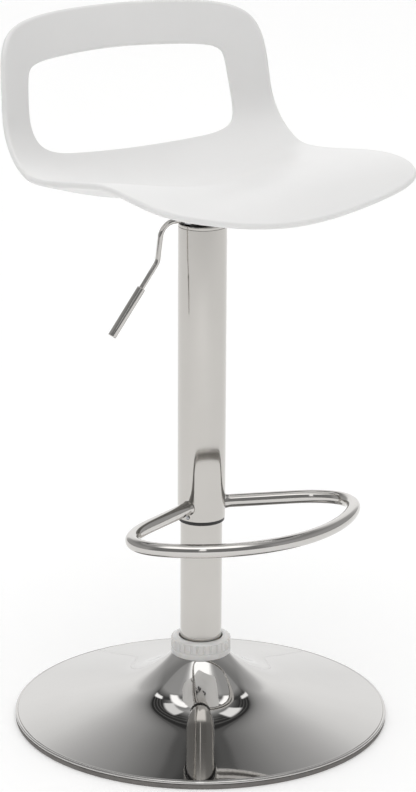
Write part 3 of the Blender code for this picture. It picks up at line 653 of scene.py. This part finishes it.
def footrest():
    """One bent tube: two arms out of the column, two wide corners and the front bow."""
    def place(plan):
        """A point of the bar in space, from its plan with y measured forwards from the column."""
        return Vector((plan.x, -plan.y, FOOTREST_Z + FOOTREST_RISE * plan.y))

    arm = Vector((math.sin(ARM_ANGLE), math.cos(ARM_ANGLE)))
    arm_end = arm * ARM_LENGTH
    weld_end = arm * (35 * MM)
    # Distance out along the arm in mm, and how much of the weld's extra radius is left there
    weld = [(22, 1.0), (28.4, 1.0), (29.2, 0.86), (30.2, 0.62), (31.4, 0.36), (33, 0.12), (35, 0.0)]
    half = [arm * (reach * MM) for reach, _ in weld]
    radii = [FOOTREST_R + (WELD_R - FOOTREST_R) * share for _, share in weld]
    half += [weld_end + (arm_end - weld_end) * (k / 6) for k in range(1, 7)]

    bow_end = Vector((BOW_R * math.sin(BOW_END), BOW_FORWARD + BOW_R * math.cos(BOW_END)))
    bow_way = Vector((math.cos(BOW_END), -math.sin(BOW_END)))
    first_pull, second_pull = arm_end + arm * CORNER_PULL[0], bow_end + bow_way * CORNER_PULL[1]
    for k in range(1, 25):
        t = k / 24
        half.append(arm_end * (1 - t) ** 3 + first_pull * 3 * t * (1 - t) ** 2
                    + second_pull * 3 * t * t * (1 - t) + bow_end * t ** 3)
    bow = [Vector((BOW_R * math.sin(a), BOW_FORWARD + BOW_R * math.cos(a)))
           for a in np.linspace(BOW_END, -BOW_END, 49)[1:-1]]

    plan = half + bow + [Vector((-p.x, p.y)) for p in reversed(half)]
    radii += [FOOTREST_R] * (len(plan) - 2 * len(radii)) + radii[::-1]
    bm = sweep([place(p) for p in plan], radii, 32)
    bar = piece("foot_loop", bm, "bar_chrome", "seat_column", "footrest_loop")
    gap = UPPER_R + 0.3 * MM
    low, high = 200 * MM, 350 * MM
    cut(bar, lathe([(0, low), (gap, low), (gap, high), (0, high)], TURN_SIDES))


# ---------------------------------------------------------------- lever and mechanism

def lever():
    """The bent lever with its grip sleeve, and the rocker block that it plugs into."""
    corners = [Vector((x * MM, 0, z * MM)) for x, z in LEVER_PATH]
    path = filleted(corners, LEVER_BENDS)
    bar = sweep(path, [LEVER_R] * len(path), 24)
    piece("lever_bar", bar, "bar_chrome", "seat_lever", "lever_rod")

    start, end = SLEEVE_ENDS
    length = (end - start).length
    bore = LEVER_R + 0.3 * MM
    depth = 24 * MM
    sleeve = [(bore, 0, 0.3 * MM), (SLEEVE_R, 0, 0.6 * MM), (SLEEVE_R, length, 0.9 * MM), (0, length),
              (0, depth), (bore, depth)]
    bm = between(lathe(eased(sleeve, 0.2 * MM), 48), start, end)
    piece("lever_grip", bm, "bar_chrome", "seat_lever", "lever_sleeve")

    low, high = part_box("lever_rocker")
    rocker = piece("rocker_block", block(low, high), "nylon", "seat_lever", "lever_rocker")
    mouth = Vector((PIVOT.x - 20 * MM, 0, PIVOT.z))
    cut(rocker, between(rod(bore, 15.5 * MM), mouth, PIVOT))
    pin_hole(rocker, 20 * MM)
    bevel(rocker, 0.5 * MM)


def pin_hole(obj, length):
    """Bore a hole for the pivot pin, with its middle on the lever's axis."""
    half = Vector((0, length / 2, 0))
    cut(obj, between(rod(PIN_R + 0.3 * MM, length), PIVOT - half, PIVOT + half))


def mechanism():
    """The lever's housing and pin, the seat plate, the release button and the seat's fasteners."""
    low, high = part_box("lever_housing")
    floor_top = low.z + 1.5 * MM
    half = [(15.5, low.z), (15.5, floor_top), (14, floor_top), (14, high.z), (12, high.z), (12, floor_top)]
    section = [(-y * MM, z) for y, z in half] + [(y * MM, z) for y, z in half[::-1]]
    channel = prism([(low.x, y, z) for y, z in section], 0, high.x)
    housing = piece("lever_channel", channel, "coat", "seat_column", "lever_housing")
    cut(housing, block((-30 * MM, -9 * MM, low.z - MM), (9 * MM, 9 * MM, floor_top + MM)))
    pin_hole(housing, 48 * MM)
    bevel(housing, 0.35 * MM)

    length = 31 * MM
    reach = Vector((0, length / 2, 0))
    pin = lathe(eased([(0, 0), (PIN_R, 0), (PIN_R, length), (0, length)], 0.4 * MM), SMALL_SIDES)
    between(pin, PIVOT - reach, PIVOT + reach)
    piece("hinge_pin", pin, "zinc", "seat_column", "pivot_pin")

    seat_bracket()

    low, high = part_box("release_button")
    button = eased([(0, low.z), (high.x, low.z), (high.x, high.z, 0.8 * MM), (0, high.z)], 0.4 * MM)
    piece("valve_pin", lathe(button, SMALL_SIDES), "zinc", "valve_button", "release_button")
    for name, (x, y) in BOLT_AT.items():
        fastener(name, x, y)


def seat_bracket():
    """The plate under the seat: rounded corners, an opening for the rocker and four bolt holes."""
    corner_r = 12 * MM
    bottom, top = PLATE_SPAN
    outline = []
    for quarter, (side_x, side_y) in enumerate([(1, 1), (-1, 1), (-1, -1), (1, -1)]):
        centre_x = side_x * (PLATE_HALF[0] - corner_r)
        centre_y = PLATE_BACK + side_y * (PLATE_HALF[1] - corner_r)
        for step in range(9):
            angle = math.pi / 2 * (quarter + step / 8)
            x, y = centre_x + corner_r * math.cos(angle), centre_y + corner_r * math.sin(angle)
            outline.append((x, y, bottom))
    plate = piece("seat_bracket", prism(outline, 2, top), "coat", "seat_column", "seat_plate")
    below, above = bottom - 5 * MM, top + 5 * MM
    cut(plate, block((-60 * MM, -8.5 * MM, below), (8 * MM, 8.5 * MM, above)))
    for x, y in BOLT_AT.values():
        hole = rod(BOLT_R + 0.3 * MM, above - below)
        cut(plate, between(hole, Vector((x, y, below)), Vector((x, y, above))))
    bevel(plate, 0.4 * MM)


def fastener(name, x, y):
    """A chamfered hex bolt with a rolled thread, its washer, and the moulded boss above the plate."""
    shift = Vector((x, y, 0))
    low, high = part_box(f"seat_bolt_{name}")
    head_top, corner, pitch = low.z + 3 * MM, 5 * MM, 1.0 * MM
    crests = int((high.z - head_top - 3.0 * MM) / (pitch / 2))
    head = [(0, low.z), (corner - 0.8 * MM, low.z), (corner, low.z + 0.5 * MM), (corner, head_top - 0.1 * MM),
            (corner - 0.1 * MM, head_top), (BOLT_R, head_top)]
    thread = [(BOLT_R - (0.32 * MM if k % 2 else 0.0), head_top + 2.2 * MM + pitch / 2 * k)
              for k in range(crests)]
    tip = [(BOLT_R - 0.6 * MM, high.z), (0, high.z)]

    def hexagon(radius, height, angle):
        """Flats on the head only."""
        if height > head_top + 0.01 * MM or radius < corner - 0.5 * MM:
            return radius
        flat = corner * math.cos(math.radians(30))
        return min(radius, flat / math.cos((angle + math.radians(30)) % math.radians(60) - math.radians(30)))

    bolt = lathe(head + thread + tip, 48, hexagon)
    bmesh.ops.translate(bolt, verts=bolt.verts, vec=shift)
    piece(f"hex_bolt_{name}", bolt, "zinc", "seat_column", f"seat_bolt_{name}", 30.0)

    low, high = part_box(f"seat_washer_{name}")
    hole, rim = BOLT_R + 0.3 * MM, (high.x - low.x) / 2
    washer = lathe(eased([(hole, low.z), (rim, low.z), (rim, high.z), (hole, high.z)], 0.25 * MM), 48)
    bmesh.ops.translate(washer, verts=washer.verts, vec=shift)
    piece(f"flat_washer_{name}", washer, "zinc", "seat_column", f"seat_washer_{name}")
    dress(f"seat_boss_{name}", "shell")


# ---------------------------------------------------------------- seat shell

class SeatSurface:
    """The middle surface of the shell, addressed by (across, along the spine)."""

    def __init__(self):
        self.line = spline(np.array(SPINE) * MM, 40)
        self.run = np.concatenate([[0], np.cumsum(np.linalg.norm(np.diff(self.line, axis=0), axis=1))])
        way = np.gradient(self.line, axis=0)
        way /= np.linalg.norm(way, axis=1)[:, None]
        self.lean = np.column_stack([-way[:, 1], way[:, 0]])
        self.dish = spline(np.array(DISH) * MM, 40)
        self.curl = spline(np.array(CURL) * MM, 40)
        self.at = np.linspace(0, DISH_RUN, len(self.dish))

    def point(self, across, along):
        """A place on the surface. Beyond the spine's end it runs straight on."""
        past = np.maximum(along - self.run[-1], 0)
        end_way = (self.line[-1] - self.line[-2]) / np.linalg.norm(self.line[-1] - self.line[-2])
        lift = np.interp(along, self.at, self.dish) * (across / DISH_SPAN) ** 2
        lift = lift + np.interp(along, self.at, self.curl) * (across / DISH_SPAN) ** 4
        y = np.interp(along, self.run, self.line[:, 0]) + past * end_way[0]
        z = np.interp(along, self.run, self.line[:, 1]) + past * end_way[1]
        y = y + np.interp(along, self.run, self.lean[:, 0]) * lift
        z = z + np.interp(along, self.run, self.lean[:, 1]) * lift
        return np.stack([across, y, z], axis=-1)

    def normal(self, across, along):
        """The way out of the seat's upper face."""
        step = 3 * MM
        side = self.point(across + step, along) - self.point(across - step, along)
        ahead = self.point(across, along + step) - self.point(across, along - step)
        out = np.cross(side, ahead)
        return out / np.linalg.norm(out, axis=-1)[..., None]


def mirrored_loop(points, per_span):
    """A closed smooth outline from the points of its right half."""
    half = np.array(points, dtype=float) * MM
    other = half[1:-1][::-1] * (-1, 1)
    return spline(np.vstack([half, other]), per_span, closed=True)


def inside_loop(points, loop):
    """Which points lie inside a closed outline."""
    inside = np.zeros(len(points), dtype=bool)
    for (x0, y0), (x1, y1) in zip(loop, np.roll(loop, -1, axis=0)):
        if y0 == y1:
            continue
        crosses = (points[:, 1] < y0) != (points[:, 1] < y1)
        inside ^= crosses & (points[:, 0] < x0 + (points[:, 1] - y0) * (x1 - x0) / (y1 - y0))
    return inside


def flat_pattern(loops, spacing):
    """Triangles that fill the first loop outside the second, with evenly spaced inner points."""
    low, high = loops[0].min(axis=0), loops[0].max(axis=0)
    rows = np.arange(low[1] + spacing / 2, high[1], spacing * 0.87)
    half_count = int(0.25 / spacing)
    grid = np.array([(x + (i % 2) * spacing / 2, y) for i, y in enumerate(rows)
                     for x in np.arange(-half_count, half_count) * spacing])
    edge = np.vstack(loops)
    clear = np.array([np.hypot(*(edge - p).T).min() > spacing * 0.55 for p in grid])
    grid = grid[clear & inside_loop(grid, loops[0]) & ~inside_loop(grid, loops[1])]
    points = np.vstack([*loops, grid])
    edges = []
    start = 0
    for loop in loops:
        edges += [(start + i, start + (i + 1) % len(loop)) for i in range(len(loop))]
        start += len(loop)
    verts, _, faces, *_ = delaunay_2d_cdt([Vector(p) for p in points], edges, [], 1, 1e-7)
    verts = np.array(verts)
    centres = np.array([verts[list(face)].mean(axis=0) for face in faces])
    keep = inside_loop(centres, loops[0]) & ~inside_loop(centres, loops[1])
    return verts, [face for face, kept in zip(faces, keep) if kept]


def seat_shell():
    """A sheet of even thickness with half-round edges outside and around the window."""
    surface = SeatSurface()
    per_span = 14
    loops = [mirrored_loop(OUTLINE, per_span), mirrored_loop(WINDOW, per_span)]
    flat, faces = flat_pattern(loops, SEAT_GRID)
    middle = surface.point(flat[:, 0], flat[:, 1])
    normal = surface.normal(flat[:, 0], flat[:, 1])
    half = SEAT_THICK / 2
    bm = bmesh.new()
    shading = []

    def vertex(place, way):
        shading.append(way)
        return bm.verts.new(place)

    top = [vertex(p, n) for p, n in zip(middle + normal * half, normal)]
    low = [vertex(p, -n) for p, n in zip(middle - normal * half, normal)]
    for face in faces:
        bm.faces.new([top[i] for i in face])
        bm.faces.new([low[i] for i in reversed(face)])
    start = 0
    for loop, outward in zip(loops, (1, -1)):
        ids = list(range(start, start + len(loop)))
        start += len(loop)
        turn = outward * math.copysign(1, np.cross(loop, np.roll(loop, -1, axis=0)).sum())
        ahead = np.roll(middle[ids], -1, axis=0) - np.roll(middle[ids], 1, axis=0)
        side = np.cross(ahead, normal[ids]) * turn
        side /= np.linalg.norm(side, axis=1)[:, None]
        rows = [[top[i] for i in ids]]
        for angle in np.linspace(0, math.pi, 9)[1:-1]:
            ways = normal[ids] * math.cos(angle) + side * math.sin(angle)
            rows.append([vertex(p, w) for p, w in zip(middle[ids] + half * ways, ways)])
        rows.append([low[i] for i in ids])
        for row, after in zip(rows, rows[1:]):
            for i in range(len(ids)):
                j = (i + 1) % len(ids)
                bm.faces.new([row[i], row[j], after[j], after[i]])
    shell = piece("seat_moulding", bm, "shell", "seat_column", "seat_shell", 180.0)
    shell.data.normals_split_custom_set_from_vertices([tuple(n) for n in shading])


# ---------------------------------------------------------------- carried-over CAD pieces

KEPT = {
    "coat": ["base_socket", "base_brace", "gas_cylinder"],
    "zinc": ["column_foot", "rod_clip"],
    "nylon": ["guide_bush", "piston", "cylinder_gland", "bearing_cage"],
    "bearing": ["piston_rod", "bearing_race_lower", "bearing_race_upper"]
    + [f"bearing_ball_{i}" for i in range(1, 9)],
    "rubber": ["rod_buffer"],
}


def dress(node, mat):
    """Give a carried-over CAD node its material."""
    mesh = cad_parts[node].data
    mesh.materials.clear()
    mesh.materials.append(MAT[mat])


def dress_kept_nodes():
    for mat, names in KEPT.items():
        for name in names:
            dress(name, mat)


# ---------------------------------------------------------------- studio

def studio_camera():
    """A long lens that looks slightly down at the stool from the lever's side of its front."""
    turn, tilt = CAMERA_TURN, CAMERA_TILT
    look = Vector((math.cos(tilt) * math.sin(turn), math.cos(tilt) * math.cos(turn), -math.sin(tilt)))
    right = Vector((math.cos(turn), -math.sin(turn), 0))
    up = right.cross(look)
    right, up = (right * math.cos(CAMERA_ROLL) + up * math.sin(CAMERA_ROLL),
                 up * math.cos(CAMERA_ROLL) - right * math.sin(CAMERA_ROLL))
    data = bpy.data.cameras.new("studio_camera")
    data.lens = CAMERA_LENS
    data.sensor_width = 36
    data.clip_end = 60
    camera = bpy.data.objects.new("studio_camera", data)
    pose = Matrix((right, up, -look)).transposed().to_4x4()
    pose.translation = CAMERA_PLACE
    camera.matrix_world = pose
    bpy.context.scene.collection.objects.link(camera)
    bpy.context.scene.camera = camera


def area_light(name, place, aim, size, power):
    """A soft light that doesn't show in reflections, which the sky already gives."""
    data = bpy.data.lights.new(name, "AREA")
    data.shape = "SQUARE"
    data.size = size
    data.energy = power
    obj = bpy.data.objects.new(name, data)
    obj.location = place
    obj.rotation_euler = (Vector(aim) - Vector(place)).to_track_quat("-Z", "Y").to_euler()
    obj.visible_glossy = False
    bpy.context.scene.collection.objects.link(obj)


def studio_floor():
    """A pale floor, with a little light of its own so that it stays even behind the stool."""
    bm = bmesh.new()
    bmesh.ops.create_grid(bm, x_segments=1, y_segments=1, size=20)
    mesh = bpy.data.meshes.new("studio_floor")
    bm.to_mesh(mesh)
    bm.free()
    s = Shader("studio_floor")
    s.colour(s.spread(s.noise(0.6, 2), 0, 1), (0.80, 0.80, 0.80), (0.79, 0.79, 0.79))
    s.main.inputs["Roughness"].default_value = 0.9
    s.main.inputs["Specular IOR Level"].default_value = 0.1
    s.main.inputs["Emission Color"].default_value = (1, 0.995, 0.985, 1)
    s.main.inputs["Emission Strength"].default_value = 0.25
    mesh.materials.append(s.mat)
    obj = bpy.data.objects.new("studio_floor", mesh)
    bpy.context.scene.collection.objects.link(obj)


class Sky(Wiring):
    """The world's light by direction: azimuth from straight behind the stool and elevation, in degrees."""

    def __init__(self, tree):
        super().__init__(tree)
        turn = self.add("ShaderNodeVectorRotate", rotation_type="Z_AXIS")
        turn.inputs["Angle"].default_value = CAMERA_TURN
        self.link(self.add("ShaderNodeTexCoord").outputs["Generated"], turn.inputs["Vector"])
        split = self.add("ShaderNodeSeparateXYZ")
        self.link(turn.outputs["Vector"], split.inputs["Vector"])
        self.x, self.y, self.z = split.outputs
        self.az = self.maths("MULTIPLY", self.maths("ARCTAN2", self.x, self.y), math.degrees(1))
        self.el = self.maths("MULTIPLY", self.maths("ARCSINE", self.z), math.degrees(1))
        self.side = self.maths("ABSOLUTE", self.az)

    def level(self, value, stops):
        """A number that follows (value, level) stops, with straight runs between them."""
        first, last = stops[0][0], stops[-1][0]
        top = max(level for _, level in stops)
        share = [((at - first) / (last - first), level / top) for at, level in stops]
        return self.maths("MULTIPLY", self.ramp(self.spread(value, 0, 1, first, last), share), top)

    def panel(self, az, el, half_az, half_el, tilt, soft):
        """How much of a softbox lies in a direction. Its top and bottom edges may slope."""
        across = self.maths("SUBTRACT", self.az, az)
        rise = self.maths("SUBTRACT", self.el, el)
        rise = self.maths("SUBTRACT", rise, self.maths("MULTIPLY", across, tilt))
        wide = self.spread(self.maths("ABSOLUTE", across), 1, 0, half_az - soft, half_az + soft, "SMOOTHSTEP")
        tall = self.spread(self.maths("ABSOLUTE", rise), 1, 0, half_el - soft, half_el + soft, "SMOOTHSTEP")
        return self.maths("MULTIPLY", wide, tall)


# Light by elevation or azimuth, as (degrees, level) stops
WALL_LEVELS = [(20, 0.43), (30, 0.41), (38, 0.34), (45, 0.29), (50.5, 0.28), (52.5, 0.42), (60, 0.44)]
SWEEP_ACROSS = [(0, 1.19), (24, 1.17), (28, 1.0), (32, 0.70), (36, 0.57), (40, 0.48), (48, 0.42), (60, 0.40)]
SWEEP_UP = [(0, 1.04), (8, 1.06), (18, 1.16), (24, 1.14), (30, 1.04), (33, 0.95), (36, 0.80), (39, 0.66),
            (42, 0.54), (45.5, 0.41), (47.6, 0.30), (49.2, 0.20), (50.2, 0.07)]
CEILING_LEVELS = [(49.5, 0.036), (57, 0.05), (61, 0.2), (64, 0.36)]
RAIL_STEP = 1.9                        # degrees of elevation between the ceiling's rails
SOFTBOX_LEVEL = 1.74
# How far beyond the overhead softbox's slanting side a direction lies, and how much of it is left there
SOFTBOX_SIDE = [(-0.07, 1), (0.02, 0.6), (0.06, 0.3), (0.14, 0.08), (0.22, 0)]
# Windows in the ceiling, white bands above it and a strip at the back:
# azimuth, elevation, half width, half height, tilt, softness and level
PANELS = [(-23, 60.2, 10, 3.2, -0.12, 1, 1.05), (18.5, 57.2, 6.5, 3.6, 0.1, 1, 1.2),
          (-40.3, 53.4, 1.6, 3.2, 0.0, 0.8, 1.5), (39.6, 51.5, 1.6, 3.2, 0.0, 0.8, 1.4),
          (-32, 67.5, 15, 2.9, 0.17, 1.2, 1.7), (37.5, 66, 9, 2.9, -0.12, 1.2, 1.7),
          (180, 36, 2.6, 15, 0.0, 0.8, 1.3), (-180, 36, 2.6, 15, 0.0, 0.8, 1.3)]


def walls_and_sweep(sky):
    """Grey walls, darker behind the camera, and a pale paper sweep that darkens upwards."""
    walls = sky.level(sky.el, WALL_LEVELS)
    behind_camera = sky.spread(sky.side, 0, 1, 122, 142, "SMOOTHSTEP")
    rear = sky.maths("MULTIPLY", behind_camera, sky.spread(sky.el, 1, 0, 50, 52))
    walls = sky.mix(rear, walls, 0.24)
    sweep = sky.maths("SMOOTH_MIN", sky.level(sky.side, SWEEP_ACROSS), sky.level(sky.el, SWEEP_UP), 0.08)
    return sky.mix(sky.spread(sky.side, 0, 1, 42, 50), sweep, walls)


def ceiling_box(sky, light):
    """A ceiling that is black with thin rails at the bottom, and greyer towards the top."""
    top = sky.maths("SUBTRACT", sky.el, sky.spread(sky.side, 0, 8, 25, 40))
    inside = sky.maths("MULTIPLY", sky.spread(sky.el, 0, 1, 49.2, 50.2), sky.spread(top, 1, 0, 64, 67))
    inside = sky.maths("MULTIPLY", inside, sky.spread(sky.side, 1, 0, 38, 39.5))
    wave = sky.maths("SINE", sky.maths("MULTIPLY", sky.el, 2 * math.pi / RAIL_STEP))
    rails = sky.maths("MULTIPLY", sky.spread(wave, 0, 0.1, 0.3, 1), sky.spread(sky.el, 1, 0, 56, 58))
    return sky.mix(inside, light, sky.maths("ADD", rails, sky.level(sky.el, CEILING_LEVELS)))


def overhead_softbox(sky, light):
    """A large softbox with straight soft sides and a lower edge in front."""
    beside = sky.maths("ADD", sky.maths("ABSOLUTE", sky.x), sky.maths("MULTIPLY", sky.y, 0.55))
    beside = sky.maths("SUBTRACT", beside, sky.maths("MULTIPLY", sky.z, 0.22))
    share = sky.maths("MULTIPLY", sky.level(beside, SOFTBOX_SIDE), sky.spread(sky.el, 0, 1, 51.5, 53.5))
    return sky.mix(share, light, SOFTBOX_LEVEL)


def studio_world():
    """A pale sweep behind the stool, a dark ceiling with small windows, and a softbox overhead."""
    world = bpy.data.worlds.new("studio")
    bpy.context.scene.world = world
    world.use_nodes = True
    sky = Sky(world.node_tree)
    light = overhead_softbox(sky, ceiling_box(sky, walls_and_sweep(sky)))
    for *shape, level in PANELS:
        light = sky.mix(sky.panel(*shape), light, level)
    sky.link(light, world.node_tree.nodes["Background"].inputs["Color"])


def main():
    base_shell()
    base_edge()
    collar()
    columns()
    footrest()
    lever()
    mechanism()
    seat_shell()
    dress_kept_nodes()
    studio_camera()
    studio_floor()
    studio_world()
    area_light("top_soft", (1.2, 1.9, 6), (1.2, 1.9, 0), 12, 240)
    area_light("front_soft", (-1.5, -2.4, 1.9), (0, 0, 0.7), 1.6, 12)
    bpy.context.scene.view_settings.view_transform = "Standard"


main()
